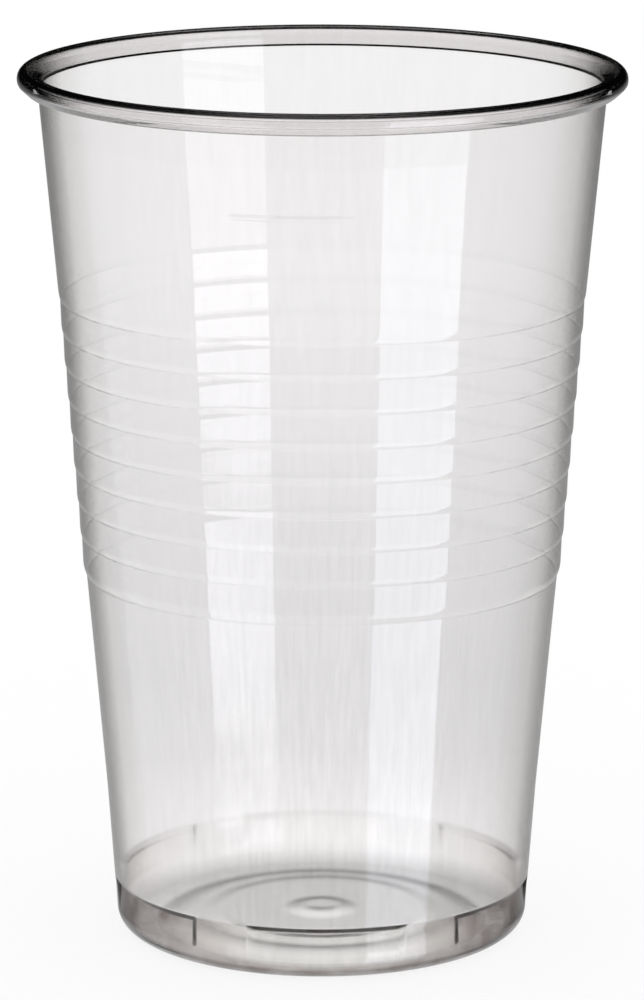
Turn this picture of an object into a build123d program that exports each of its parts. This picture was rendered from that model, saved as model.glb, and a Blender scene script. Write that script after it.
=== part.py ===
"""Disposable drinking cup, formed in one piece from a thin clear sheet.

Lengths are millimetres, +Z is up, and the origin is on the table under the middle of the cup.
One of the six foot panels faces -Y. The outside and the inside of the cup are two solids of
revolution, a mould and its plug, and the sheet is what lies between them. The rolled rim is
the same sheet, carried on above the neck and turned over outwards.
"""

import math
import os

from build123d import *

# Overall size
cup_height = 115.0
rim_diameter = 79.0

# Sheet: drawn thin in the wall, and thicker in the base and in the rim
wall = 0.3
base_wall = 0.6
rim_wall = 0.5

# Rolled rim, and how far under the top the sheet begins to thicken
neck_drop = 7.3
roll_width = 3.1
roll_height = 2.8
roll_lead = 0.2
outer_turn_share = 0.42
inner_turn_share = 0.88
tuck_height_share = 0.39
tuck_run_share = 0.39
tuck_hollow = 0.3
tip_hollow = 0.15
edge_gap = 0.35
edge_rise = 0.1

# Grip bands: a stair of small inward steps, counted down from the top one. A band is straight, and
# curves in over its last part to the crease where the next one starts
rib_top = 86.1
rib_top_radius = 34.4
rib_count = 9
rib_pitch = 4.52
rib_ramp = 1.1
rib_step = 0.24
band_draft = 0.13
last_ramp = 1.6
last_step = 0.44

# Wall under the bands
skirt_top = 19.5
skirt_top_radius = 28.45

# Foot and base
foot_radius = 27.22
foot_corner = 2.8
foot_land = 3.0
pilaster_top = 5.8
pilaster_draft = 0.18
shoulder_height = 6.6
shoulder_proud = 0.11
push_up = 1.4
riser_run = 3.1
floor_ring_radius = 13.5
floor_ring_drop = 0.25
button_radius = 4.7
button_rise = 0.45
button_slope_run = 0.5

# Stacking panels pressed into the foot
panel_count = 6
panel_angle = 44.6
panel_side_angle = 2.2
panel_top = 7.15
panel_ledge_drop = 0.6
panel_recess = 0.65
panel_corner = 0.5
panel_wing_share = 4
first_panel = -88.5

# Moulded fill line, placed by its share of the straight wall from the top band up to the neck
fill_height_share = 0.708
fill_bar = 0.6
fill_proud = 0.1
fill_start = -108.5
fill_angle = 23

# Spare length by which a cutting shape runs past what it cuts
overrun = 1.0

# Worked out from the sizes above
rim_radius = rim_diameter / 2
neck_height = cup_height - neck_drop
outer_turn = outer_turn_share * roll_height
inner_turn = inner_turn_share * (roll_width - outer_turn)
roll_start = cup_height - inner_turn - roll_lead
roll_bottom = cup_height - roll_height
wall_top_radius = rim_radius - roll_width + rim_wall
wall_slope = (wall_top_radius - rib_top_radius) / (roll_start - rib_top)
pilaster_top_radius = foot_radius + pilaster_draft
shoulder_radius = pilaster_top_radius + shoulder_proud
land_outer = foot_radius - foot_corner
land_inner = land_outer - foot_land
floor_radius = land_inner - riser_run
fill_height = rib_top + fill_height_share * (neck_height - rib_top)
roll_corners = [
    (rim_radius - roll_width, roll_start),
    (rim_radius - roll_width, cup_height),
    (rim_radius, cup_height),
    (rim_radius, roll_bottom + tuck_height_share * roll_height),
    (rim_radius - tuck_run_share * roll_width, roll_bottom),
    (wall_top_radius + edge_gap, roll_bottom + edge_rise),
]
hollow_turns = [inner_turn - rim_wall, outer_turn - rim_wall, tuck_hollow, tip_hollow]


def upper_radius(height):
    """Outside radius of the straight wall between the top band and the rim."""
    return rib_top_radius + (height - rib_top) * wall_slope


def band_points(inset):
    """Top, curve start and crease of each grip band from the highest down, set in by the inset."""
    bands = []
    top = (upper_radius(neck_height) - inset, neck_height)
    for index in range(rib_count):
        is_last = index == rib_count - 1
        radius = rib_top_radius - inset - index * (rib_step + band_draft)
        curve_start = (radius, rib_top - index * rib_pitch)
        crease = (
            radius - (last_step if is_last else rib_step),
            curve_start[1] - (last_ramp if is_last else rib_ramp),
        )
        bands.append((top, curve_start, crease))
        top = crease
    return bands


def wall_points(inset):
    """Corners of the wall from the foot up to the lowest crease, set in by the inset."""
    return [
        (pilaster_top_radius - inset, pilaster_top),
        (shoulder_radius - inset, shoulder_height),
        (skirt_top_radius - inset, skirt_top),
        band_points(inset)[-1][-1],
    ]


def base_points(lift):
    """Corners of the base from the middle out to the standing ring, raised by the lift."""
    return [
        (0, push_up + button_rise + lift),
        (button_radius - button_slope_run, push_up + button_rise + lift),
        (button_radius, push_up + lift),
        (floor_ring_radius, push_up + lift),
        (floor_ring_radius + floor_ring_drop, push_up - floor_ring_drop + lift),
        (floor_radius, push_up - floor_ring_drop + lift),
        (land_inner, lift),
    ]


def form(inset, lift):
    """Solid of revolution under the neck: the outside form, or the inside one set in by the sheet."""
    corner = foot_corner - lift
    side = foot_radius - inset
    with BuildPart() as solid:
        with BuildSketch(Plane.XZ):
            with BuildLine():
                base = Polyline(*base_points(lift), (side - corner, lift))
                turn = RadiusArc(base @ 1, (side, lift + corner), -corner)
                Polyline(turn @ 1, *wall_points(inset))
                for top, curve_start, crease in band_points(inset):
                    straight = Line(top, curve_start)
                    TangentArc(curve_start, crease, tangent=straight % 1)
                Polyline((upper_radius(neck_height) - inset, neck_height), (0, neck_height), base @ 0)
            make_face()
        revolve(axis=Axis.Z)
    return solid.part


def stacking_panel(inset):
    """One stacking panel: a ledge at its top and a face that leans out to the foot below it."""
    face_top = panel_top - panel_ledge_drop
    face_top_radius = shoulder_radius - panel_recess
    face_lean = (foot_radius - face_top_radius) / (face_top - foot_corner)
    outer = shoulder_radius + overrun
    half_inner = math.radians(panel_angle / 2 - panel_side_angle)
    half_outer = math.radians(panel_angle / 2)
    inner_x = (face_top_radius - inset) * math.cos(half_inner)
    inner_y = (face_top_radius - inset) * math.sin(half_inner)
    wing_x = inner_x + panel_wing_share * ((shoulder_radius - inset) * math.cos(half_outer) - inner_x)
    wing_y = inner_y + panel_wing_share * ((shoulder_radius - inset) * math.sin(half_outer) - inner_y)
    with BuildPart() as recess:
        with BuildSketch(Plane.XZ):
            with BuildLine():
                Polyline(
                    (foot_radius - inset + face_lean * overrun, foot_corner - overrun),
                    (face_top_radius - inset, face_top),
                    (shoulder_radius - inset, panel_top),
                    (outer, panel_top),
                    (outer, foot_corner - overrun),
                    close=True,
                )
            make_face()
        revolve(axis=Axis.Z)
        with BuildSketch():
            with BuildLine():
                Polyline(
                    (inner_x, -inner_y),
                    (inner_x, inner_y),
                    (wing_x, wing_y),
                    (outer, wing_y),
                    (outer, -wing_y),
                    (wing_x, -wing_y),
                    close=True,
                )
            make_face()
        extrude(amount=panel_top + overrun, mode=Mode.INTERSECT)
        ledge_ends = recess.edges().filter_by_position(Axis.Z, face_top, panel_top, (False, False))
        fillet(ledge_ends, panel_corner)
    return recess.part


def moved_right(corners, distance):
    """Corners of a path, moved to its right by the distance."""
    points = [Vector(*corner) for corner in corners]
    normals = [(end - start).normalized().rotate(Axis.Z, -90) for start, end in zip(points, points[1:])]
    sides = zip([normals[0], *normals], [*normals, normals[-1]])
    return [
        point + (before + after) * (distance / (1 + before.dot(after)))
        for point, (before, after) in zip(points, sides)
    ]


# Inside of the cup, panels pressed in
with BuildPart() as inside:
    add(form(wall, base_wall))
    with PolarLocations(0, panel_count, start_angle=first_panel):
        add(stacking_panel(wall), mode=Mode.SUBTRACT)

# Outside of the cup less its inside, with the rim and the fill line
with BuildPart() as cup:
    add(form(0, 0))
    with PolarLocations(0, panel_count, start_angle=first_panel):
        add(stacking_panel(0), mode=Mode.SUBTRACT)
    add(inside.part, mode=Mode.SUBTRACT)

    with BuildSketch(Plane.XZ):
        with BuildLine():
            skin = FilletPolyline(*roll_corners, radius=[turn + rim_wall for turn in hollow_turns])
            hollow = FilletPolyline(*moved_right(roll_corners, rim_wall), radius=hollow_turns)
            Line(hollow @ 1, skin @ 1)
            Polyline(
                hollow @ 0,
                (upper_radius(neck_height), neck_height),
                (upper_radius(neck_height) - wall, neck_height),
                skin @ 0,
            )
        make_face()
    revolve(axis=Axis.Z)

    with BuildSketch(Plane.XZ.rotated((0, 0, fill_start))):
        with Locations((upper_radius(fill_height), fill_height)):
            Rectangle(2 * fill_proud, fill_bar)
    revolve(axis=Axis.Z, revolution_arc=fill_angle)

cup.part.label = "cup"

os.makedirs("parts", exist_ok=True)
export_step(cup.part, "parts/cup.step")
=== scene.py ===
"""Dresses and stages a clear disposable drinking cup, formed in one piece from a thin plastic sheet.

The cup is one closed surface: the section of the sheet, a loop round its base, wall and rolled rim,
is carried round the axis and pressed in at the six stacking panels. Lengths are metres, and the cup
stands on the floor at the origin.
"""

import math
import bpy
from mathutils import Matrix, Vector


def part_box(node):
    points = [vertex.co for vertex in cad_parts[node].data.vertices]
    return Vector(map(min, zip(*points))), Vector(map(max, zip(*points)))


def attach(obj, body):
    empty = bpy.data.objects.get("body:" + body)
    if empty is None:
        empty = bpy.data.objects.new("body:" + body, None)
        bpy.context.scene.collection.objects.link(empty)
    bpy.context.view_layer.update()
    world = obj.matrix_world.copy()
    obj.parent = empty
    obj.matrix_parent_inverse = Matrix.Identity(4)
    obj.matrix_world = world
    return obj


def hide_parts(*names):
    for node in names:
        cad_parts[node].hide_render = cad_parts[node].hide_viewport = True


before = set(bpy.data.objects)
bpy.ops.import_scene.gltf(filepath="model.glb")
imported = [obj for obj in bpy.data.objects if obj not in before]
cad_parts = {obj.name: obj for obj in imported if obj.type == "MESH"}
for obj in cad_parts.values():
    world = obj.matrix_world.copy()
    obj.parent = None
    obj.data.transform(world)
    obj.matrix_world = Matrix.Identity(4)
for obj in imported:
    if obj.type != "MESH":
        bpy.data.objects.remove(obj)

from types import SimpleNamespace

import bpy
import numpy as np
from bpy.props import FloatProperty, FloatVectorProperty, IntProperty, PointerProperty
from mathutils import Matrix

bl_info = {
    "name": "Clear drinking cup",
    "version": (1, 0, 0),
    "blender": (4, 5, 0),
    "location": "3D View > Sidebar > Cup",
    "description": "Builds a clear moulded drinking cup and the studio it stands in",
    "category": "Add Mesh",
}

MM = 0.001
NODE = "cup"
BODY = "root"

LOW_CORNER, HIGH_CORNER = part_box(NODE)
CUP_HEIGHT = HIGH_CORNER.z
RIM_RADIUS = (HIGH_CORNER.x - LOW_CORNER.x) / 2

# Settings that many nodes share: to blend two colours, tint one by another, multiply, and ease
BLEND = {"data_type": "RGBA"}
TINT = {"data_type": "RGBA", "blend_type": "MULTIPLY"}
TIMES = {"operation": "MULTIPLY"}
SMOOTH = {"interpolation_type": "SMOOTHSTEP"}


def linear(hex_value):
    """An sRGB hex value as a linear colour with full alpha."""
    encoded = np.array([int(hex_value[i:i + 2], 16) for i in (1, 3, 5)]) / 255
    decoded = np.where(encoded <= 0.04045, encoded / 12.92, ((encoded + 0.055) / 1.055) ** 2.4)
    return (*decoded, 1.0)


def length(name, description, default):
    """A property in metres."""
    return FloatProperty(name=name, description=description, default=default, unit="LENGTH",
                         subtype="DISTANCE", precision=5)


def angle(name, description, degrees):
    """A property shown in degrees and kept in radians."""
    return FloatProperty(name=name, description=description, default=math.radians(degrees),
                         unit="ROTATION", subtype="ANGLE")


def number(name, description, default):
    """A property with no unit."""
    return FloatProperty(name=name, description=description, default=default)


def colour(name, description, hex_value):
    """A colour property, given as an sRGB hex value and kept linear."""
    return FloatVectorProperty(name=name, description=description, default=linear(hex_value), size=4,
                               min=0, max=1, subtype="COLOR")


class WallSizes(bpy.types.PropertyGroup):
    """Sheet, rolled rim, straight wall and grip bands."""

    height: length("Height", "Height of the cup", CUP_HEIGHT)
    rim_radius: length("Rim radius", "Outside radius of the rolled rim", RIM_RADIUS)
    wall: length("Wall", "Thickness of the sheet in the wall", 0.3 * MM)
    base_wall: length("Base wall", "Thickness of the sheet in the base", 0.6 * MM)
    rim_wall: length("Rim wall", "Thickness of the sheet in the rolled rim", 0.5 * MM)
    neck_drop: length("Neck drop", "How far under the top the sheet begins to thicken", 7.3 * MM)
    roll_width: length("Roll width", "Width of the rolled rim", 3.1 * MM)
    roll_height: length("Roll height", "Height of the rolled rim", 2.8 * MM)
    roll_lead: length("Roll lead", "Straight run between the wall and the roll", 0.2 * MM)
    outer_turn_share: number("Outer turn", "Radius of the roll's outer turn, as a share of its height", 0.42)
    inner_turn_share: number("Inner turn", "Radius of its inner turn, as a share of the width left", 0.88)
    tuck_height_share: number("Tuck height", "Height of the tuck under it, as a share of the roll's", 0.39)
    tuck_run_share: number("Tuck run", "Width of the tuck, as a share of the roll's", 0.39)
    tuck_hollow: length("Tuck hollow", "Radius inside the roll where the tuck begins", 0.3 * MM)
    tip_hollow: length("Tip hollow", "Radius inside the roll where it turns to the wall", 0.15 * MM)
    edge_gap: length("Edge gap", "Gap between the sheet's edge and the wall", 0.35 * MM)
    edge_rise: length("Edge rise", "How far the sheet's edge rises again", 0.1 * MM)
    edge_wall: length("Edge wall", "Thickness of the sheet at its edge", 0.12 * MM)
    rib_top: length("Rib top", "Height of the top step's upper edge", 86.1 * MM)
    rib_top_radius: length("Rib top radius", "Outside radius at the top step's upper edge", 34.4 * MM)
    rib_count: IntProperty(name="Ribs", description="Number of inward steps", default=9)
    rib_pitch: length("Rib pitch", "Height from one step to the next", 4.52 * MM)
    rib_ramp: length("Rib ramp", "Height over which a step curves in", 1.1 * MM)
    rib_step: length("Rib step", "How far a step goes in", 0.24 * MM)
    band_draft: length("Band draft", "How far a band leans in between two steps", 0.13 * MM)
    last_ramp: length("Last ramp", "Height over which the lowest step curves in", 1.6 * MM)
    last_step: length("Last step", "How far the lowest step goes in", 0.44 * MM)
    skirt_top: length("Skirt top", "Height where the lower wall changes its lean", 19.5 * MM)
    skirt_top_radius: length("Skirt top radius", "Outside radius at that height", 28.45 * MM)
    fill_height_share: number("Fill line height", "Its share of the straight wall up to the neck", 0.708)
    fill_bar: length("Fill line width", "Height of the raised line", 0.6 * MM)
    fill_proud: length("Fill line proud", "How far it stands out", 0.1 * MM)
    fill_start: angle("Fill line start", "Direction of its left end, from +X", -108.5)
    fill_angle: angle("Fill line angle", "Angle that it runs through", 23)


class FootSizes(bpy.types.PropertyGroup):
    """Foot, base and stacking panels."""

    foot_radius: length("Foot radius", "Outside radius at the top of the foot's corner", 27.22 * MM)
    foot_corner: length("Foot corner", "Outside radius of the rounded corner", 2.8 * MM)
    foot_land: length("Standing ring", "Width of the flat ring that the cup stands on", 3.0 * MM)
    pilaster_top: length("Pilaster top", "Height where the pilasters begin to flare", 5.8 * MM)
    pilaster_draft: length("Pilaster draft", "How far the pilasters lean out", 0.18 * MM)
    shoulder_height: length("Shoulder height", "Height of the shoulder over the foot", 6.6 * MM)
    shoulder_proud: length("Shoulder proud", "How far the shoulder flares past the pilasters", 0.11 * MM)
    push_up: length("Push up", "Height of the raised base", 1.4 * MM)
    riser_run: length("Riser run", "Width of the slope from the ring up to the base", 3.3 * MM)
    floor_ring_radius: length("Floor ring radius", "Radius of the shallow step in the base", 13.5 * MM)
    floor_ring_drop: length("Floor ring drop", "Height of that step", 0.25 * MM)
    floor_ring_run: length("Floor ring run", "Width over which the step is softened", 2.0 * MM)
    button_radius: length("Button radius", "Radius of the round button in the base", 4.7 * MM)
    button_rise: length("Button rise", "Height of the button", 0.45 * MM)
    button_slope_run: length("Button slope", "Width of the button's sloped edge", 2.2 * MM)
    panel_count: IntProperty(name="Panels", description="Number of stacking panels", default=6)
    panel_angle: angle("Panel angle", "Angle that a panel takes up, measured at the shoulder", 44.6)
    panel_side_angle: angle("Panel side angle", "Angle that a panel's sloped side takes up", 2.2)
    panel_top: length("Panel top", "Height of the ledge's outer edge", 7.15 * MM)
    panel_ledge_drop: length("Ledge drop", "How far the ledge slopes down inwards", 0.6 * MM)
    panel_recess: length("Panel recess", "Depth of a panel under the shoulder", 0.65 * MM)
    first_panel: angle("First panel", "Direction of the first panel, from +X", -88.5)


class FinishSettings(bpy.types.PropertyGroup):
    """Colours, painted shade and small pattern of the clear sheet."""

    sheet: colour("Sheet", "Colour of the clear sheet seen straight", "#FFFFFF")
    streak: colour("Streaks", "Colour of its fine upright streaks", "#ECECEC")
    # Painted shade: the foot's panels darken at a slant in blotches of this tint.
    blotch: colour("Blotches", "Tint of the blotches in the foot, at a slant", "#A79A97")
    # Painted shade: the dark lines that the creases show at a slant.
    crease: colour("Creases", "Colour of the creases between the bands, at a slant", "#2A2827")
    rim: colour("Rim", "Tint of the thicker sheet in the rim", "#F8F7F7")
    base: colour("Base", "Tint of the thicker sheet in the base", "#FFFEFC")
    streak_width: length("Streak width", "Width of the upright streaks", 0.8 * MM)
    nick_size: length("Nick size", "Length of the stretches where a crease is dark", 1.5 * MM)
    blotch_size: length("Blotch size", "Size of the blotches in the foot", 4 * MM)
    ripple_size: length("Ripple size", "Size of the ripples in the sheet", 7 * MM)
    ripple_height: length("Ripple height", "Height of the ripples", 0.01 * MM)
    wall_haze: number("Wall haze", "Roughness at its most, low on the wall", 0.07)
    base_haze: number("Base haze", "Roughness of the base", 0.13)


class StageSettings(bpy.types.PropertyGroup):
    """Camera, floor and studio."""

    camera_distance: length("Camera distance", "From the camera to the point that it looks at", 747.5 * MM)
    camera_pitch: angle("Camera pitch", "How far the camera looks down", 13.022)
    aim_height: length("Aim height", "Height of the point that the camera looks at", 57.6 * MM)
    camera_roll: angle("Camera roll", "How far the camera is turned about its view", 0.085)
    lens: number("Lens", "Focal length in millimetres, on a sensor 36 mm long", 204.7)
    floor_radius: length("Floor radius", "Radius of the round floor", 6.0)
    floor_colour: colour("Floor colour", "Colour of the floor where the camera sees it", "#E7E7E7")
    softbox_near: angle("Softbox near edge", "Direction of its near edge, to the right of the camera", 25)
    softbox_far: angle("Softbox far edge", "Direction of its far edge, to the right of the camera", 61.5)
    softbox_distance: length("Softbox distance", "From the cup's axis to the softbox", 1.5)
    softbox_low: length("Softbox low edge", "Height of its lower edge", -1.2)
    softbox_high: length("Softbox high edge", "Height of its upper edge", 0.35)
    softbox_strength: number("Softbox strength", "Brightness of the softbox, where 1 is white", 2.2)
    studio_strength: number("Studio strength", "Brightness of the room as reflections see it", 0.7)


def rounded_path(corners, radii, flatness=0.004 * MM, guard=0.015 * MM):
    """A path through corners, each rounded by an arc of its own radius.

    At a corner the path turns by an angle. The arc of radius R starts R * tan(turn / 2) before the
    corner and ends as far after it, and its centre lies R / cos(turn / 2) from the corner along the
    line that halves it. Its steps are sqrt(8 * flatness / R), so that no chord strays further than
    that from the arc. One more point a guard's length past each end keeps the straight runs'
    normals straight. A corner with no radius or no turn stays one point.
    """
    before = corners[1:-1] - corners[:-2]
    after = corners[2:] - corners[1:-1]
    before /= np.linalg.norm(before, axis=1, keepdims=True)
    after /= np.linalg.norm(after, axis=1, keepdims=True)
    cross = before[:, 0] * after[:, 1] - before[:, 1] * after[:, 0]
    turn = np.arctan2(cross, np.sum(before * after, axis=1))
    along = before + after
    along /= np.linalg.norm(along, axis=1, keepdims=True)
    inward = np.sign(turn)[:, None] * np.stack([-along[:, 1], along[:, 0]], axis=1)
    radius = radii[1:-1]
    centre = corners[1:-1] + inward * (radius / np.cos(turn / 2))[:, None]
    rounded = (np.abs(turn) > math.radians(0.5)) & (radius > 0)
    steps = np.ceil(np.abs(turn) * np.sqrt(radius / (8 * flatness)))
    counts = np.where(rounded, 3 + steps, 1).astype(int)
    corner = np.repeat(np.arange(len(turn)), counts)
    place = np.arange(counts.sum()) - np.repeat(np.cumsum(counts) - counts, counts)
    half = np.abs(turn[corner]) / 2
    swing = (place - 1) * 2 * half / np.maximum(counts[corner] - 3, 1) - half
    swing = np.clip(swing, -half, half)[:, None]
    past = guard * (1.0 * (place == counts[corner] - 1) - (place == 0))[:, None]
    along = along[corner]
    inward = inward[corner]
    arc = centre[corner] + radius[corner, None] * (along * np.sin(swing) - inward * np.cos(swing))
    arc += past * (along * np.cos(swing) + inward * np.sin(swing))
    points = np.where(rounded[corner, None], arc, corners[1:-1][corner])
    return np.concatenate([corners[:1], points, corners[-1:]])


def smooth_highest(first, second, blend):
    """The higher of two fields, with the crease between them rounded over a width of blend.

    It is the mean of the two plus half the root of their squared difference and blend squared.
    """
    return (first + second + np.sqrt((first - second) ** 2 + blend ** 2)) / 2


def smooth_lowest(first, second, blend):
    """The lower of two fields, with the crease between them rounded over a width of blend."""
    return -smooth_highest(-first, -second, blend)


def smooth_step(value):
    """0 below 0 and 1 above 1, and between them three times the square less twice the cube."""
    share = np.clip(value, 0, 1)
    return share ** 2 * (3 - 2 * share)


def moved_right(corners, distance):
    """Corners of a path, moved to its right by a distance, or by one distance for each.

    A corner moves along the sum of the right normals of its two runs, by the distance over one plus
    their product.
    """
    runs = np.diff(corners, axis=0)
    runs /= np.linalg.norm(runs, axis=1, keepdims=True)
    right = np.stack([runs[:, 1], -runs[:, 0]], axis=1)
    before = np.concatenate([right[:1], right])
    after = np.concatenate([right, right[-1:]])
    share = np.broadcast_to(distance, len(corners)) / (1 + np.sum(before * after, axis=1))
    return corners + share[:, None] * (before + after)


def roll_corners(sizes):
    """Corners of the rolled rim on the sheet's skin and on its hollow side, and the radius of each.

    The hollow side is the skin moved in by the sheet, which thins evenly from the roll's outer turn
    to its edge.
    """
    outer_turn = sizes.outer_turn_share * sizes.roll_height
    inner_turn = sizes.inner_turn_share * (sizes.roll_width - outer_turn)
    start = sizes.height - inner_turn - sizes.roll_lead
    bottom = sizes.height - sizes.roll_height
    inner = sizes.rim_radius - sizes.roll_width
    skin = np.array([
        (inner, start),
        (inner, sizes.height),
        (sizes.rim_radius, sizes.height),
        (sizes.rim_radius, bottom + sizes.tuck_height_share * sizes.roll_height),
        (sizes.rim_radius - sizes.tuck_run_share * sizes.roll_width, bottom),
        (inner + sizes.rim_wall + sizes.edge_gap, bottom + sizes.edge_rise),
    ])
    drawn_share = np.clip(np.arange(-2, 4), 0, 3) / 3
    sheet = sizes.rim_wall + drawn_share * (sizes.edge_wall - sizes.rim_wall)
    hollow = moved_right(skin, sheet)
    lead = 2 * MM
    edge = 0.3 * sizes.edge_wall
    tuck_skin = sizes.tuck_hollow + sheet[3]
    tip_skin = sizes.tip_hollow + sheet[4]
    skin_radii = [lead, inner_turn, outer_turn, tuck_skin, tip_skin, edge]
    hollow_turns = np.array([inner_turn, outer_turn]) - sizes.rim_wall
    hollow_radii = [lead, *hollow_turns, sizes.tuck_hollow, sizes.tip_hollow, edge]
    return skin, np.array(skin_radii), hollow, np.array(hollow_radii)


def upper_slope(sizes):
    """How far the straight wall over the bands leans out for each metre up, to meet the rolled rim."""
    _, _, hollow, _ = roll_corners(sizes)
    return (hollow[0, 0] - sizes.rib_top_radius) / (hollow[0, 1] - sizes.rib_top)


def upper_radius(sizes, height):
    """Outside radius of the straight wall over the bands: a straight line up from the top band."""
    return sizes.rib_top_radius + upper_slope(sizes) * (height - sizes.rib_top)


def lower_radius(sizes, foot, height):
    """Outside radius of the wall under the bands, where no panel is pressed in.

    It runs straight between the foot's corner, the pilasters' top, the shoulder and the skirt's top.
    """
    pilaster = foot.foot_radius + foot.pilaster_draft
    return np.interp(
        height,
        [foot.foot_corner, foot.pilaster_top, foot.shoulder_height, sizes.skirt_top],
        [foot.foot_radius, pilaster, pilaster + foot.shoulder_proud, sizes.skirt_top_radius],
    )


def fill_height(sizes):
    """Height of the middle of the fill line."""
    return sizes.rib_top + sizes.fill_height_share * (sizes.height - sizes.neck_drop - sizes.rib_top)


def band_corners(sizes):
    """Outside corners of the grip bands from the lowest crease up, and the radius that rounds each.

    A band runs straight down from the crease over it and then curves in to the next one. The arc
    touches the band where the curve begins, so its corner lies as far from there as from the crease.
    """
    index = np.arange(sizes.rib_count)
    last = index == sizes.rib_count - 1
    curve_start = np.stack([
        sizes.rib_top_radius - index * (sizes.rib_step + sizes.band_draft),
        sizes.rib_top - index * sizes.rib_pitch,
    ], axis=1)
    chord = -np.stack([
        np.where(last, sizes.last_step, sizes.rib_step),
        np.where(last, sizes.last_ramp, sizes.rib_ramp),
    ], axis=1)
    wall_run = [-upper_slope(sizes), -1]
    band_run = [-sizes.band_draft, sizes.rib_ramp - sizes.rib_pitch]
    down = np.where((index == 0)[:, None], wall_run, band_run)
    down /= np.linalg.norm(down, axis=1, keepdims=True)
    reach = np.sum(chord ** 2, axis=1) / (2 * np.sum(chord * down, axis=1))
    bend = reach[:, None] * down
    run = (chord - bend) / np.linalg.norm(chord - bend, axis=1, keepdims=True)
    half_turn = np.arccos(np.clip(np.sum(run * down, axis=1), -1, 1)) / 2
    bend_radius = 0.9 * reach / np.tan(half_turn)
    crease_radius = np.full(len(index), 0.12 * MM)
    corners = np.stack([curve_start + bend, curve_start + chord], axis=1).reshape(-1, 2)
    radii = np.stack([bend_radius, crease_radius], axis=1).ravel()
    return corners[::-1], radii[::-1]


def base_corners(foot, inset, lift):
    """Corners of the base from its middle out to the foot's corner, and the radius that rounds each."""
    land_inner = foot.foot_radius - foot.foot_corner - foot.foot_land
    button = foot.push_up + foot.button_rise
    ring = foot.push_up - foot.floor_ring_drop
    gentle = 6 * MM
    riser_top = 8 * MM
    riser_foot = 3 * MM
    rows = np.array([
        (0, button, 0),
        (foot.button_radius - foot.button_slope_run, button, gentle),
        (foot.button_radius, foot.push_up, gentle),
        (foot.floor_ring_radius, foot.push_up, gentle),
        (foot.floor_ring_radius + foot.floor_ring_run, ring, gentle),
        (land_inner - foot.riser_run, ring, riser_top),
        (land_inner, 0, riser_foot),
        (foot.foot_radius - inset, 0, foot.foot_corner - lift),
    ])
    return rows[:, :2] + [0, lift], rows[:, 2]


def wall_corners(sizes, foot):
    """Outside corners of the wall from the foot's corner up to the top band, and the radius of each.

    They stand a tenth of a millimetre apart over the panels' ledge, for the fields that press it in.
    The wall is lower_radius up to the skirt's top, and straight from there to the lowest crease.
    """
    ledge_foot = foot.panel_top - foot.panel_ledge_drop - 0.2 * MM
    beyond = 2 * MM
    height = np.concatenate([
        np.linspace(foot.foot_corner + 0.15 * MM, ledge_foot, 9)[:-1],
        np.arange(ledge_foot, foot.panel_top + 0.5 * MM, 0.1 * MM),
        [foot.panel_top + 1 * MM, sizes.skirt_top - beyond, sizes.skirt_top, sizes.skirt_top + beyond],
    ])
    bands, band_radii = band_corners(sizes)
    share = (height - sizes.skirt_top) / (bands[0, 1] - sizes.skirt_top)
    past = sizes.skirt_top_radius + share * (bands[0, 0] - sizes.skirt_top_radius)
    radius = np.where(share > 0, past, lower_radius(sizes, foot, height))
    wall = np.stack([radius, height], axis=1)
    return np.concatenate([wall, bands]), np.concatenate([0 * height, band_radii])


def sheet_section(sizes, foot):
    """The sheet's section as one loop, from under the middle of the base round to over it.

    It runs out under the base and up the outside, round inside the roll to the sheet's edge, and
    back over the rim and down the inside. The points are radius and height. The inside of the wall
    is its outside moved in by the sheet, so an outward bend is tighter there and a crease is wider.
    """
    under, under_radii = base_corners(foot, 0, 0)
    floor, floor_radii = base_corners(foot, sizes.wall, sizes.base_wall)
    outside, outside_radii = wall_corners(sizes, foot)
    inside = moved_right(outside, -sizes.wall)
    bends_out = np.arange(len(outside))[::-1] % 2 == 0
    inside_radii = outside_radii - sizes.wall * np.where(bends_out, 1, -1)
    inside_radii = np.where(outside_radii > 0, inside_radii, 0)
    skin, skin_radii, hollow, hollow_radii = roll_corners(sizes)
    neck = sizes.height - sizes.neck_drop
    fill_shares = np.array([-0.9, -0.7, -0.5, -0.3, 0.3, 0.5, 0.7, 0.9])
    fill = fill_height(sizes) + sizes.fill_bar * fill_shares
    corners = np.concatenate([
        under,
        outside,
        np.stack([upper_radius(sizes, fill), fill], axis=1),
        hollow,
        skin[::-1],
        [(upper_radius(sizes, neck) - sizes.wall, neck)],
        inside[::-1],
        floor[::-1],
    ])
    radii = np.concatenate([
        under_radii, outside_radii, 0 * fill, hollow_radii,
        skin_radii[::-1], [4 * MM], inside_radii[::-1], floor_radii[::-1],
    ])
    return rounded_path(corners, radii)


def panel_azimuths(foot, face_columns=14, pilaster_columns=4):
    """Azimuths of the grid's columns, close together at the two edges of a panel's sloped side."""
    half_outer = foot.panel_angle / 2
    half_inner = half_outer - foot.panel_side_angle
    close = math.radians(0.25) * np.array([-1, 0, 1])
    side = np.concatenate([half_inner + close, [(half_inner + half_outer) / 2], half_outer + close])
    face = np.linspace(-side[0], side[0], face_columns + 2)[1:-1]
    sector = 2 * math.pi / foot.panel_count
    pilaster = np.linspace(side[-1], sector - side[-1], pilaster_columns + 2)[1:-1]
    one = np.concatenate([-side[::-1], face, side, pilaster])
    starts = foot.first_panel + sector * np.arange(foot.panel_count)
    return (starts[:, None] + one).ravel()


def from_panel_middle(foot, azimuth):
    """Angle from an azimuth to the middle of the nearest panel."""
    sector = 2 * math.pi / foot.panel_count
    return np.abs((azimuth - foot.first_panel + sector / 2) % sector - sector / 2)


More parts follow.
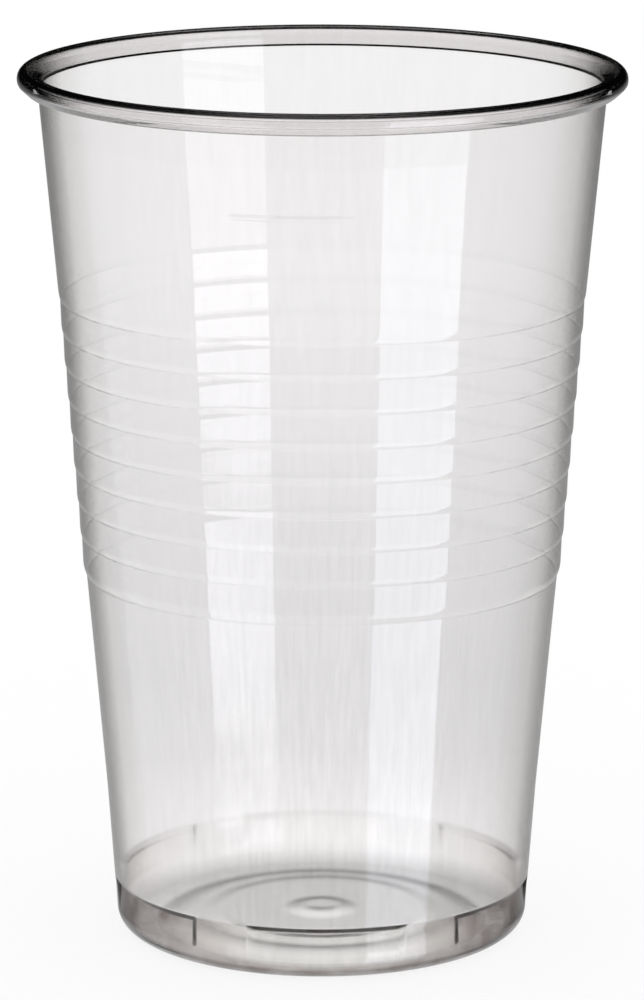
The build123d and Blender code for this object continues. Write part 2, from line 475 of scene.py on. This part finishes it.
def pressed_in(foot, sizes, azimuth, height, blend=0.08 * MM):
    """How far the panels are pressed in, as a field of azimuth and height.

    The pressed radius is the highest of three fields: the leaning face, the ledge over it and the
    sloped sides. The wall takes that radius where it is lower than the plain one.
    """
    offset = from_panel_middle(foot, azimuth)
    shoulder = foot.foot_radius + foot.pilaster_draft + foot.shoulder_proud
    face_top = foot.panel_top - foot.panel_ledge_drop
    face_top_radius = shoulder - foot.panel_recess
    face_lean = (foot.foot_radius - face_top_radius) / (face_top - foot.foot_corner)
    face = face_top_radius + (face_top - height) * face_lean
    ledge = face_top_radius + (height - face_top) * foot.panel_recess / foot.panel_ledge_drop
    half_inner = foot.panel_angle / 2 - foot.panel_side_angle
    side = face_top_radius + (offset - half_inner) * foot.panel_recess / foot.panel_side_angle
    pressed = smooth_highest(smooth_highest(face, ledge, blend), side, blend)
    plain = lower_radius(sizes, foot, height)
    depth = plain - smooth_lowest(plain, pressed, blend)
    begin = np.clip((height - foot.foot_corner) / (0.6 * MM), 0, 1)
    end = np.clip((foot.panel_top + 1 * MM - height) / (0.5 * MM), 0, 1)
    return depth * begin * end


def standing_out(sizes, azimuth, height, soft=0.2 * MM):
    """How far the raised fill line stands out, as a field of azimuth and height.

    It is the line's own height times a smooth step of the depth inside its two long edges, and
    another, eight times as gentle, of the depth inside its ends.
    """
    middle = sizes.fill_start + sizes.fill_angle / 2
    above = sizes.fill_bar / 2 - np.abs(height - fill_height(sizes))
    beside = (sizes.fill_angle / 2 - np.abs(azimuth - middle)) * sizes.rib_top_radius
    return sizes.fill_proud * smooth_step(above / soft + 0.5) * smooth_step(beside / (8 * soft) + 0.5)


def folded(foot, azimuth, height, side_reach=1.3, ledge_reach=1.8):
    """How near a point is to a panel's ledge or sloped sides, from 1 in their middle to 0 past them.

    Each falls by 1 for half its width away from its middle, from its reach and at most 1.
    """
    offset = from_panel_middle(foot, azimuth)
    half_side = foot.panel_side_angle / 2
    side = side_reach - np.abs(offset - foot.panel_angle / 2 + half_side) / half_side
    side = np.clip(side, 0, 1) * np.clip((height - foot.foot_corner) / (0.6 * MM), 0, 1)
    half_ledge = foot.panel_ledge_drop / 2
    ledge = ledge_reach - np.abs(height - foot.panel_top + half_ledge) / half_ledge
    ledge = np.clip(ledge, 0, 1) * (offset < foot.panel_angle / 2)
    return np.where(height < foot.panel_top - half_ledge, np.maximum(side, ledge), ledge)


def closed_grid(rows, columns):
    """Corners and sizes of the faces of a grid that closes round, with a pole at each end.

    Its points are numbered along the rows, and the two poles come after them, each with a fan.
    """
    index = np.arange(rows * columns).reshape(rows, columns)
    beside = np.roll(index, -1, axis=1)
    quads = np.stack([index[:-1], beside[:-1], beside[1:], index[1:]], axis=2).reshape(-1, 4)
    first_pole = rows * columns
    start = np.stack([np.full(columns, first_pole), beside[0], index[0]], axis=1)
    end = np.stack([np.full(columns, first_pole + 1), index[-1], beside[-1]], axis=1)
    fans = np.concatenate([start, end])
    corners = np.concatenate([quads.ravel(), fans.ravel()])
    totals = np.concatenate([np.full(len(quads), 4), np.full(len(fans), 3)])
    return corners, totals


def cup_surface(sizes, foot):
    """Vertices, the corners and sizes of the faces, and two fields, of the whole closed sheet.

    A vertex is a point of the section, moved in by the panels' field, out by the fill line's, and
    turned to its azimuth. The ends of the section lie on the axis and are the grid's poles. The
    fields are 1 on the sheet's outer skin, and on the folds of the panels there.
    """
    section = sheet_section(sizes, foot)
    azimuth = panel_azimuths(foot)
    ring = section[1:-1, :, None]
    outer_side = (np.arange(len(ring)) < np.argmax(ring[:, 1] == ring[:, 1].max()))[:, None]
    depth = pressed_in(foot, sizes, azimuth, ring[:, 1])
    turned = (azimuth + math.pi) % (2 * math.pi) - math.pi
    proud = np.where(outer_side, standing_out(sizes, turned, ring[:, 1]), 0)
    radius = ring[:, 0] - depth + proud
    points = np.stack([
        radius * np.cos(azimuth),
        radius * np.sin(azimuth),
        np.broadcast_to(ring[:, 1], radius.shape),
    ], axis=2).reshape(-1, 3)
    poles = np.array([(0, 0, section[0, 1]), (0, 0, section[-1, 1])])
    corners, totals = closed_grid(*radius.shape)
    outer = np.broadcast_to(outer_side, radius.shape)
    fold = outer * folded(foot, azimuth, ring[:, 1])
    fields = {"outer": np.append(outer.ravel(), (1, 0)), "fold": np.append(fold.ravel(), (0, 0))}
    return np.concatenate([points, poles]), corners, totals, fields


def mesh_object(name, vertices, corners, totals, fields=None):
    """An object with a smooth mesh and its fields of one number a vertex, written from whole arrays."""
    mesh = bpy.data.meshes.new(name)
    mesh.vertices.add(len(vertices))
    mesh.vertices.foreach_set("co", np.ascontiguousarray(vertices, dtype=np.float32).ravel())
    mesh.loops.add(len(corners))
    mesh.loops.foreach_set("vertex_index", corners.astype(np.int32))
    mesh.polygons.add(len(totals))
    starts = np.cumsum(totals) - totals
    mesh.polygons.foreach_set("loop_start", starts.astype(np.int32))
    mesh.polygons.foreach_set("loop_total", totals.astype(np.int32))
    mesh.update(calc_edges=True)
    for key, values in (fields or {}).items():
        mesh.attributes.new(key, "FLOAT", "POINT").data.foreach_set("value", values.astype(np.float32))
    mesh.validate()
    mesh.shade_smooth()
    obj = bpy.data.objects.new(name, mesh)
    bpy.context.scene.collection.objects.link(obj)
    return obj


def emptied_tree(owner):
    """The node tree of a new material or world, with the nodes that it came with taken out."""
    owner.use_nodes = True
    owner.node_tree.nodes.clear()
    return owner.node_tree


def add_node(tree, kind, settings=None, stops=(), **inputs):
    """Adds a node with its settings, the stops of its ramp, and its inputs, set or linked.

    An input goes by its name, with underscores for spaces, or by its place, as in _1. A node given
    for an input stands for its first output in use. A stop is a place on the ramp and a hex colour.
    """
    node = tree.nodes.new(kind)
    for key, value in (settings or {}).items():
        setattr(node, key, value)
    for place, _ in stops[2:]:
        node.color_ramp.elements.new(place)
    for index, (place, hex_value) in enumerate(stops):
        element = node.color_ramp.elements[index]
        element.position = place
        element.color = linear(hex_value)
    for key, value in inputs.items():
        socket = node.inputs[int(key[1:])] if key[1:].isdigit() else node.inputs[key.replace("_", " ")]
        if isinstance(value, bpy.types.Node):
            value = next(output for output in value.outputs if output.enabled)
        if isinstance(value, bpy.types.NodeSocket):
            tree.links.new(value, socket)
        else:
            socket.default_value = value
    return node


def sheet_readings(tree):
    """What the sheet's material reads at a point: where it is, on which skin, and how slanted it lies.

    Slant is 0 where the sheet faces the eye and 1 edge on. Around is a place on a cylinder of 30 mm,
    so that a pattern on it runs evenly round the cup.
    """
    place = add_node(tree, "ShaderNodeTexCoord").outputs["Object"]
    parts = add_node(tree, "ShaderNodeSeparateXYZ", Vector=place)
    height = parts.outputs["Z"]
    across = add_node(tree, "ShaderNodeCombineXYZ", X=parts.outputs["X"], Y=parts.outputs["Y"])
    ring = add_node(tree, "ShaderNodeVectorMath", {"operation": "NORMALIZE"}, _0=across)
    upright = add_node(tree, "ShaderNodeCombineXYZ", Z=height)
    cylinder = (30 * MM, 30 * MM, 0)
    return SimpleNamespace(
        place=place,
        height=height,
        radius=add_node(tree, "ShaderNodeVectorMath", {"operation": "LENGTH"}, _0=across),
        around=add_node(tree, "ShaderNodeVectorMath", {"operation": "MULTIPLY_ADD"},
                        _0=ring, _1=cylinder, _2=upright),
        outer=add_node(tree, "ShaderNodeAttribute", {"attribute_name": "outer"}).outputs["Fac"],
        fold=add_node(tree, "ShaderNodeAttribute", {"attribute_name": "fold"}).outputs["Fac"],
        slant=add_node(tree, "ShaderNodeLayerWeight", Blend=0.5).outputs["Facing"],
    )


def streaked_sheet(tree, finish, at):
    """The clear sheet with fine upright streaks, ten times as tall as wide, where it faces the eye.

    They are densest low on the wall, so the sheet is greyer towards the bottom.
    """
    squeezed = add_node(tree, "ShaderNodeVectorMath", TIMES, _0=at.around, _1=(1, 1, 0.1))
    noise = add_node(tree, "ShaderNodeTexNoise", Vector=squeezed, Scale=1 / finish.streak_width,
                     Detail=3.0, Roughness=0.6)
    density = add_node(tree, "ShaderNodeMapRange", Value=noise, From_Min=0.35, From_Max=0.75, To_Max=0.5)
    low = add_node(tree, "ShaderNodeMapRange", Value=at.height, From_Min=60 * MM, From_Max=20 * MM,
                   To_Min=0.3)
    facing = add_node(tree, "ShaderNodeMapRange", Value=at.slant, From_Min=0.08, From_Max=0.3,
                      To_Min=1.0, To_Max=0.1)
    drawn = add_node(tree, "ShaderNodeMath", TIMES, _0=density, _1=low)
    amount = add_node(tree, "ShaderNodeMath", TIMES, _0=drawn, _1=facing)
    return add_node(tree, "ShaderNodeMix", BLEND, Factor=amount, A=finish.sheet, B=finish.streak)


def slant_shaded_sheet(tree, finish, foot, at):
    """The sheet's tint by its slant, a little from its longer path and mostly painted shade: thin and clear
    in the wall, greyer and blotched in the foot.

    The folds of the foot's panels take the painted shade sooner, so that their ledges and sides show as dark
    lines.
    """
    # Painted shade: the wall darkens as it is seen more edge on.
    thin = add_node(tree, "ShaderNodeValToRGB", Fac=at.slant, stops=(
        (0, "#FFFEFE"), (0.45, "#FFFEFE"), (0.55, "#FCFBFA"), (0.63, "#F8F7F5"), (0.69, "#E3E1DE"),
        (0.76, "#C6C3BF"), (0.88, "#8A8783"), (1, "#3A3938"),
    ))
    # Painted shade: the foot's panels greyer at a slant.
    foot_slant_shade = add_node(tree, "ShaderNodeValToRGB", Fac=at.slant, stops=(
        (0, "#FBFAF9"), (0.1, "#F0EEEC"), (0.2, "#C8C1BE"), (0.45, "#9F9694"), (0.62, "#958D8A"),
        (0.74, "#7A7472"), (0.83, "#2A2928"), (1, "#101010"),
    ))
    # Painted shade: dark lines on the panels' ledges and sides.
    fold_shade = add_node(tree, "ShaderNodeValToRGB", Fac=at.slant, stops=(
        (0.13, "#FFFFFF"), (0.26, "#6A6664"), (0.4, "#1A1918"), (1, "#0A0A0A"),
    ))
    noise = add_node(tree, "ShaderNodeTexNoise", Vector=at.place, Scale=1 / finish.blotch_size, Detail=1.0)
    blotched = add_node(tree, "ShaderNodeMapRange", Value=noise, From_Min=0.4, From_Max=0.65)
    tilted = add_node(tree, "ShaderNodeMapRange", Value=at.slant, From_Min=0.15, From_Max=0.4)
    amount = add_node(tree, "ShaderNodeMath", TIMES, _0=blotched, _1=tilted)
    blotchy_shade = add_node(tree, "ShaderNodeMix", TINT, Factor=amount, A=foot_slant_shade, B=finish.blotch)
    low = add_node(tree, "ShaderNodeMapRange", Value=at.height,
                   From_Min=foot.panel_top + 0.2 * MM, From_Max=foot.panel_top - 0.2 * MM)
    footed = add_node(tree, "ShaderNodeMath", TIMES, _0=at.outer, _1=low)
    slanted = add_node(tree, "ShaderNodeMix", BLEND, Factor=footed, A=thin, B=blotchy_shade)
    folds = add_node(tree, "ShaderNodeMapRange", Value=at.fold, From_Min=0.3, From_Max=0.7)
    return add_node(tree, "ShaderNodeMix", TINT, Factor=folds, A=slanted, B=fold_shade)


def painted_crease_shade(tree, finish, sizes, at):
    """How dark the painted shade in the creases between the bands is: thin uneven lines, seen on the outer
    skin at a slant.

    The creases but the lowest stand a pitch apart, so a height counted down from the first and folded
    at half a pitch is the distance to the nearest one. A line is 0.15 mm wide on each side of it.
    """
    half_line = 0.15 * MM
    first = sizes.rib_top - sizes.rib_ramp
    last = sizes.rib_top - (sizes.rib_count - 1) * sizes.rib_pitch - sizes.last_ramp
    under_first = add_node(tree, "ShaderNodeMath", {"operation": "SUBTRACT"}, _0=first, _1=at.height)
    nearest = add_node(tree, "ShaderNodeMath", {"operation": "PINGPONG"},
                       _0=under_first, _1=sizes.rib_pitch / 2)
    above = add_node(tree, "ShaderNodeMapRange", Value=at.height,
                     From_Min=last + 1 * MM, From_Max=last + 1.1 * MM)
    below = add_node(tree, "ShaderNodeMapRange", Value=at.height,
                     From_Min=first + 0.4 * MM, From_Max=first + 0.5 * MM, To_Min=1.0, To_Max=0.0)
    among = add_node(tree, "ShaderNodeMath", TIMES, _0=above, _1=below)
    near = add_node(tree, "ShaderNodeMapRange", Value=nearest, From_Max=half_line, To_Min=1.0, To_Max=0.0)
    regular = add_node(tree, "ShaderNodeMath", TIMES, _0=near, _1=among)
    over_last = add_node(tree, "ShaderNodeMath", {"operation": "SUBTRACT"}, _0=at.height, _1=last)
    from_last = add_node(tree, "ShaderNodeMath", {"operation": "ABSOLUTE"}, _0=over_last)
    lowest = add_node(tree, "ShaderNodeMapRange", Value=from_last, From_Max=half_line,
                      To_Min=1.0, To_Max=0.0)
    lines = add_node(tree, "ShaderNodeMath", {"operation": "MAXIMUM"}, _0=regular, _1=lowest)
    noise = add_node(tree, "ShaderNodeTexNoise", Vector=at.around, Scale=1 / finish.nick_size, Detail=1.0)
    nicks = add_node(tree, "ShaderNodeMapRange", Value=noise, From_Min=0.3, From_Max=0.7,
                     To_Min=0.5, To_Max=1.2)
    uneven = add_node(tree, "ShaderNodeMath", TIMES, _0=lines, _1=nicks)
    outside = add_node(tree, "ShaderNodeMath", TIMES, _0=uneven, _1=at.outer)
    tilted = add_node(tree, "ShaderNodeMapRange", Value=at.slant, From_Min=0.1, From_Max=0.65, To_Max=0.85)
    return add_node(tree, "ShaderNodeMath", TIMES, _0=outside, _1=tilted)


def rim_tint_and_shade(tree, finish, sizes, at, wall):
    """A wall's tint, with the roll's thicker sheet over it, and painted shade where the roll's skin lies
    aslant.
    """
    roll_bottom = sizes.height - sizes.roll_height
    high = add_node(tree, "ShaderNodeMapRange", Value=at.height,
                    From_Min=roll_bottom - 0.2 * MM, From_Max=roll_bottom + 0.3 * MM)
    rolled = add_node(tree, "ShaderNodeMix", TINT, Factor=high, A=wall, B=finish.rim)
    # Painted shade: the black lines of the rolled rim, where its skin lies aslant.
    shadow = add_node(tree, "ShaderNodeValToRGB", Fac=at.slant, stops=(
        (0.45, "#FFFFFF"), (0.62, "#8C8C8C"), (0.8, "#1E1E1E"), (1, "#0A0A0A"),
    ))
    skin = add_node(tree, "ShaderNodeMath", TIMES, _0=at.outer, _1=high)
    return add_node(tree, "ShaderNodeMix", TINT, Factor=skin, A=rolled, B=shadow)


def haze(tree, finish, sizes, foot, at):
    """Roughness of the sheet: a light haze over the foot that fades up the wall, and more in the base."""
    rise = add_node(tree, "ShaderNodeMapRange", Value=at.height, From_Min=foot.panel_top,
                    From_Max=foot.panel_top + 1 * MM, To_Max=finish.wall_haze)
    fall = add_node(tree, "ShaderNodeMapRange", Value=at.height, From_Min=sizes.skirt_top,
                    From_Max=2.2 * sizes.skirt_top, To_Min=1.0, To_Max=0.0)
    wall = add_node(tree, "ShaderNodeMath", TIMES, _0=rise, _1=fall)
    base = add_node(tree, "ShaderNodeMapRange", Value=at.radius, From_Min=22 * MM, From_Max=19 * MM,
                    To_Max=finish.base_haze)
    return add_node(tree, "ShaderNodeMath", {"operation": "MAXIMUM"}, _0=wall, _1=base)


def clear_polystyrene(finish, sizes, foot):
    """Clear polystyrene, thermoformed: glossy and warm grey, darker where the sheet is seen edge on, a
    little from its longer path and mostly as painted shade.

    Drawing the sheet out leaves it a little denser in fine upright streaks. The lower wall, drawn furthest,
    is a little hazy. The foot's panels carry painted shade at a slant, greyer than the thin wall, in
    blotches. Creases are thin lines of painted shade, and the whole sheet ripples slightly.
    """
    material = bpy.data.materials.new("clear_polystyrene")
    tree = emptied_tree(material)
    at = sheet_readings(tree)
    slanted = slant_shaded_sheet(tree, finish, foot, at)
    dark = painted_crease_shade(tree, finish, sizes, at)
    # Painted shade in the creases between the bands.
    crease_shaded = add_node(tree, "ShaderNodeMix", BLEND, Factor=dark, A=slanted, B=finish.crease)
    edged = rim_tint_and_shade(tree, finish, sizes, at, crease_shaded)
    inwards = add_node(tree, "ShaderNodeMapRange", Value=at.radius, From_Min=26 * MM, From_Max=24.5 * MM)
    based = add_node(tree, "ShaderNodeMix", BLEND, Factor=inwards, A=edged, B=finish.base)
    streaked = streaked_sheet(tree, finish, at)
    tinted = add_node(tree, "ShaderNodeMix", TINT, Factor=1.0, A=streaked, B=based)
    ripples = add_node(tree, "ShaderNodeTexNoise", Vector=at.place, Scale=1 / finish.ripple_size, Detail=1.0)
    relief = add_node(tree, "ShaderNodeBump", Height=ripples, Distance=finish.ripple_height, Strength=1.0)
    shader = add_node(
        tree, "ShaderNodeBsdfPrincipled",
        Base_Color=tinted,
        Roughness=haze(tree, finish, sizes, foot, at),
        Normal=relief,
        IOR=1.59,
        Transmission_Weight=1.0,
    )
    add_node(tree, "ShaderNodeOutputMaterial", Surface=shader)
    return material


def reflected(tree):
    """1 where the path has met a reflection on its way, and 0 where it only went straight or through."""
    path = add_node(tree, "ShaderNodeLightPath")
    return add_node(tree, "ShaderNodeMath", {"operation": "GREATER_THAN"},
                    _0=path.outputs["Glossy Depth"], _1=0.5)


def floor_material(floor_colour):
    """Matt white paper, lit evenly for the camera and shaded in a wide ring where the cup looks down on it.

    Reflections in the cup look past it, into the studio.
    """
    material = bpy.data.materials.new("matt_white_paper")
    tree = emptied_tree(material)
    place = add_node(tree, "ShaderNodeTexCoord").outputs["Object"]
    distance = add_node(tree, "ShaderNodeVectorMath", {"operation": "LENGTH"}, _0=place)
    share = add_node(tree, "ShaderNodeMath", {"operation": "DIVIDE"}, _0=distance, _1=0.5)
    # Painted light and shade for what the cup sees through itself: a bright pool under its base, a dark ring
    # under its foot and a grey ring further out.
    shade = add_node(tree, "ShaderNodeValToRGB", Fac=share, stops=(
        (0.036, "#F8F8F8"), (0.048, "#D2D2D2"), (0.056, "#D6D6D6"), (0.066, "#EFEFEF"), (0.11, "#E6E6E6"),
        (0.17, "#D9D9D9"), (0.26, "#D4D4D5"), (0.5, "#DADADB"), (1, "#E7E7E7"),
    ))
    straight = add_node(tree, "ShaderNodeLightPath").outputs["Is Camera Ray"]
    seen = add_node(tree, "ShaderNodeMix", BLEND, Factor=straight, A=shade, B=floor_colour)
    paper = add_node(tree, "ShaderNodeBsdfDiffuse", Color=linear("#FFFFFF"), Roughness=0.0)
    glow = add_node(tree, "ShaderNodeEmission", Color=seen, Strength=1.25)
    lit = add_node(tree, "ShaderNodeMixShader", _0=0.85, _1=paper, _2=glow)
    past = add_node(tree, "ShaderNodeBsdfTransparent")
    mix = add_node(tree, "ShaderNodeMixShader", _0=reflected(tree), _1=lit, _2=past)
    add_node(tree, "ShaderNodeOutputMaterial", Surface=mix)
    return material


def softbox_material(strength):
    """Lit white cloth that only reflections see: dim at the top, a dimmer strip, and bright low down."""
    material = bpy.data.materials.new("softbox_cloth")
    tree = emptied_tree(material)
    place = add_node(tree, "ShaderNodeTexCoord").outputs["Object"]
    parts = add_node(tree, "ShaderNodeSeparateXYZ", Vector=place)
    share = add_node(tree, "ShaderNodeMapRange", Value=parts.outputs["Z"], From_Min=0.1, From_Max=-0.9)
    level = add_node(tree, "ShaderNodeValToRGB", Fac=share, stops=(
        (0, "#B4B5B9"), (0.1, "#B9BABE"), (0.18, "#EEF0F8"), (0.26, "#EEF0F8"), (0.29, "#A2A3A6"),
        (0.37, "#A2A3A6"), (0.4, "#CFD1D9"), (0.5, "#D7D9E1"), (0.6, "#E6E8F2"), (1, "#ECEEF8"),
    ))
    past = add_node(tree, "ShaderNodeBsdfTransparent")
    glow = add_node(tree, "ShaderNodeEmission", Color=level, Strength=strength)
    mix = add_node(tree, "ShaderNodeMixShader", _0=reflected(tree), _1=past, _2=glow)
    add_node(tree, "ShaderNodeOutputMaterial", Surface=mix)
    material.cycles.emission_sampling = "NONE"
    return material


def studio_world(strength):
    """White for what is seen straight or through the cup, and a dim room for what it reflects.

    The room is bright low down, where the table is, and dark overhead and far to the right.
    """
    world = bpy.data.worlds.new("studio")
    tree = emptied_tree(world)
    white = add_node(tree, "ShaderNodeBackground", Color=linear("#FFFFFF"), Strength=1.0)
    direction = add_node(tree, "ShaderNodeTexCoord").outputs["Generated"]
    parts = add_node(tree, "ShaderNodeSeparateXYZ", Vector=direction)
    below = add_node(tree, "ShaderNodeMapRange", SMOOTH, Value=parts.outputs["Z"],
                     From_Min=0.05, From_Max=-0.45, To_Min=0.004, To_Max=strength)
    table = add_node(tree, "ShaderNodeMapRange", Value=parts.outputs["Z"],
                     From_Min=-0.33, From_Max=-0.42, To_Min=1.0, To_Max=1.25)
    left = add_node(tree, "ShaderNodeMapRange", SMOOTH, Value=parts.outputs["X"],
                    From_Min=0.9, From_Max=0.45, To_Min=0.3, To_Max=1.0)
    low = add_node(tree, "ShaderNodeMath", TIMES, _0=below, _1=table)
    level = add_node(tree, "ShaderNodeMath", TIMES, _0=low, _1=left)
    room = add_node(tree, "ShaderNodeBackground", Color=linear("#FFFFFF"), Strength=level)
    mix = add_node(tree, "ShaderNodeMixShader", _0=reflected(tree), _1=white, _2=room)
    add_node(tree, "ShaderNodeOutputWorld", Surface=mix)
    return world


def floor_object(stage, sides=96):
    """The round floor, as one flat face."""
    turn = np.linspace(0, 2 * math.pi, sides + 1)[:-1]
    edge = stage.floor_radius * np.stack([np.cos(turn), np.sin(turn), 0 * turn], axis=1)
    floor = mesh_object("floor", edge, np.arange(sides), np.array([sides]))
    floor.data.materials.append(floor_material(stage.floor_colour))
    return floor


def softbox_object(stage):
    """The tall softbox, as one flat face between its near and far edge."""
    edges = np.array([stage.softbox_near, stage.softbox_far])
    x = stage.softbox_distance * np.sin(edges)
    y = -stage.softbox_distance * np.cos(edges)
    low, high = stage.softbox_low, stage.softbox_high
    panel = np.array([(x[0], y[0], low), (x[1], y[1], low), (x[1], y[1], high), (x[0], y[0], high)])
    softbox = mesh_object("softbox", panel, np.arange(4), np.array([4]))
    softbox.data.materials.append(softbox_material(stage.softbox_strength))
    return softbox


def camera_object(stage):
    """The camera, in front of the cup at its distance and pitch from the point that it looks at."""
    camera = bpy.data.objects.new("camera", bpy.data.cameras.new("camera"))
    camera.data.lens = stage.lens
    camera.data.sensor_width = 36
    camera.data.clip_start = 0.05
    camera.data.clip_end = 50
    camera.location = (
        0,
        -stage.camera_distance * math.cos(stage.camera_pitch),
        stage.aim_height + stage.camera_distance * math.sin(stage.camera_pitch),
    )
    pitched = Matrix.Rotation(math.pi / 2 - stage.camera_pitch, 3, "X")
    camera.rotation_euler = (pitched @ Matrix.Rotation(stage.camera_roll, 3, "Z")).to_euler()
    return camera


class CUP_OT_build(bpy.types.Operator):
    """Build the cup as one closed sheet of clear plastic"""

    bl_idname = "cup.build"
    bl_label = "Build cup"

    def execute(self, context):
        sizes = context.scene.cup_wall
        foot = context.scene.cup_foot
        cup = mesh_object("clear_cup", *cup_surface(sizes, foot))
        cup.data.materials.append(clear_polystyrene(context.scene.cup_finish, sizes, foot))
        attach(cup, BODY)
        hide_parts(NODE)
        return {"FINISHED"}


class CUP_OT_stage(bpy.types.Operator):
    """Set the floor, the studio and the camera"""

    bl_idname = "cup.stage"
    bl_label = "Set stage"

    def execute(self, context):
        stage = context.scene.cup_stage
        floor_object(stage)
        softbox_object(stage)
        context.scene.world = studio_world(stage.studio_strength)
        camera = camera_object(stage)
        context.scene.collection.objects.link(camera)
        context.scene.camera = camera
        context.scene.view_settings.view_transform = "Standard"
        return {"FINISHED"}


class CUP_PT_panel(bpy.types.Panel):
    """Lists the sizes, the finish and the steps of the cup"""

    bl_idname = "CUP_PT_panel"
    bl_label = "Clear drinking cup"
    bl_space_type = "VIEW_3D"
    bl_region_type = "UI"
    bl_category = "Cup"

    def draw(self, context):
        scene = context.scene
        for group in (scene.cup_wall, scene.cup_foot, scene.cup_finish, scene.cup_stage):
            box = self.layout.box()
            for name in group.bl_rna.properties.keys():
                if name not in ("rna_type", "name"):
                    box.prop(group, name)
        self.layout.operator(CUP_OT_build.bl_idname)
        self.layout.operator(CUP_OT_stage.bl_idname)


GROUPS = {
    "cup_wall": WallSizes,
    "cup_foot": FootSizes,
    "cup_finish": FinishSettings,
    "cup_stage": StageSettings,
}
CLASSES = (*GROUPS.values(), CUP_OT_build, CUP_OT_stage, CUP_PT_panel)


def register():
    for cls in CLASSES:
        bpy.utils.register_class(cls)
    for name, group in GROUPS.items():
        setattr(bpy.types.Scene, name, PointerProperty(type=group))


def unregister():
    for name in GROUPS:
        delattr(bpy.types.Scene, name)
    for cls in reversed(CLASSES):
        bpy.utils.unregister_class(cls)


def main():
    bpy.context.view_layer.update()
    register()
    bpy.ops.cup.build()
    bpy.ops.cup.stage()
    bpy.context.view_layer.update()


if __name__ == "__main__":
    main()
